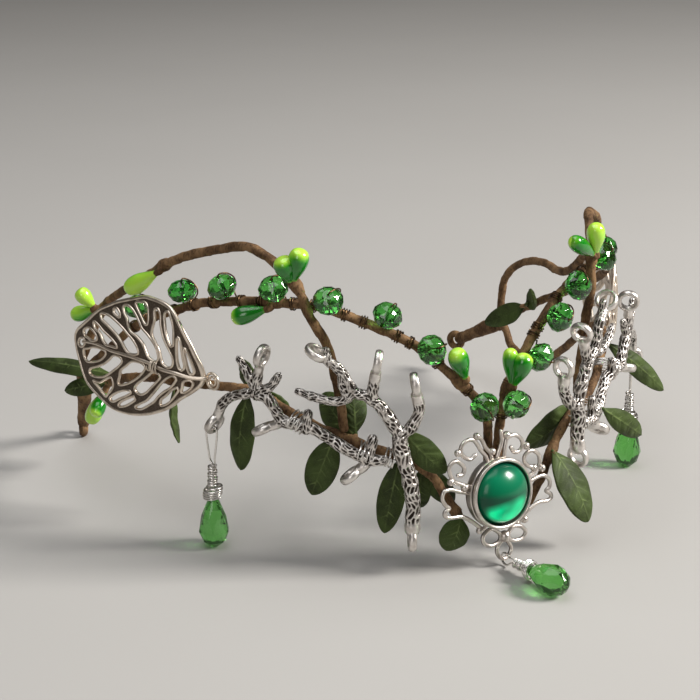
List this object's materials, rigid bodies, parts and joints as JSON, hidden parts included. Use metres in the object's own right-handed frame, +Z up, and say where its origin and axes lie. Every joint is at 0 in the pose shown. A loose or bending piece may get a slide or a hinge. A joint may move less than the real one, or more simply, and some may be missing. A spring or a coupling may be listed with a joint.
{
  "type": "diadem",
  "caption": "Woodland diadem of taped wire vines with glass beads, cast twigs, skeleton leaves and a green cabochon, worn round the front of the head.",
  "frame": {"origin": "middle of the bounding box, on the floor that the diadem stands on", "axes": "+Z up, -Y towards the front setting, +X towards the wearer's left"},
  "size_m": [0.179, 0.1736, 0.0904],
  "materials": {
    "tape": "matt paper tape",
    "silver": "antique silver with dark recesses",
    "bead_glass": "cut and polished",
    "cabochon_glass": "polished dome",
    "drop_glass": "cut and polished",
    "bud_lacquer": "glossy lacquer",
    "leaf_fabric": "pressed fabric with a slight sheen"
  },
  "bodies": {
    "root": {"antler_casting_left": "silver", "antler_casting_right": "silver", "arch_wire_left": "tape", "arch_wire_right": "tape", "bead_left_1": "bead_glass", "bead_left_2": "bead_glass", "bead_left_3": "bead_glass", "bead_left_4": "bead_glass", "bead_left_5": "bead_glass", "bead_left_6": "bead_glass", "bead_left_7": "bead_glass", "bead_left_8": "bead_glass", "bead_right_1": "bead_glass", "bead_right_2": "bead_glass", "bead_right_3": "bead_glass", "bead_right_4": "bead_glass", "bead_right_5": "bead_glass", "bead_right_6": "bead_glass", "branch_casting_left": "silver", "branch_casting_right": "silver", "bud_arch_rear_left": "bud_lacquer", "bud_front_left": "bud_lacquer", "bud_vine_left": "bud_lacquer", "buds_arch_left": "bud_lacquer", "buds_arch_right": "bud_lacquer", "buds_front_right": "bud_lacquer", "buds_rear_lower_left": "bud_lacquer", "buds_rear_upper_left": "bud_lacquer", "cabochon": "cabochon_glass", "centre_setting": "silver", "drop_centre_stone": "drop_glass", "drop_centre_wire": "silver", "drop_left_stone": "drop_glass", "drop_left_wire": "silver", "drop_right_stone": "drop_glass", "drop_right_wire": "silver", "end_loop_left": "tape", "end_loop_right": "tape", "leaf_front_left": "leaf_fabric", "leaf_front_right": "leaf_fabric", "leaf_hang_centre_left": "leaf_fabric", "leaf_hang_middle_left": "leaf_fabric", "leaf_hang_rear_left": "leaf_fabric", "leaf_hang_side_left": "leaf_fabric", "leaf_long_right": "leaf_fabric", "leaf_low_front_left": "leaf_fabric", "leaf_pendant_left": "silver", "leaf_pendant_right": "silver", "leaf_rear_lower_left": "leaf_fabric", "leaf_rear_upper_left": "leaf_fabric", "leaf_side_right": "leaf_fabric", "leaf_upper_side_right": "leaf_fabric", "lower_wire_left": "tape", "lower_wire_right": "tape", "sprig_front_left": "leaf_fabric", "sprig_middle_left": "leaf_fabric", "sprig_rear_right": "leaf_fabric", "sprig_side_left": "leaf_fabric", "vine_wire_left": "tape", "vine_wire_right": "tape"}
  },
  "joints": []
}
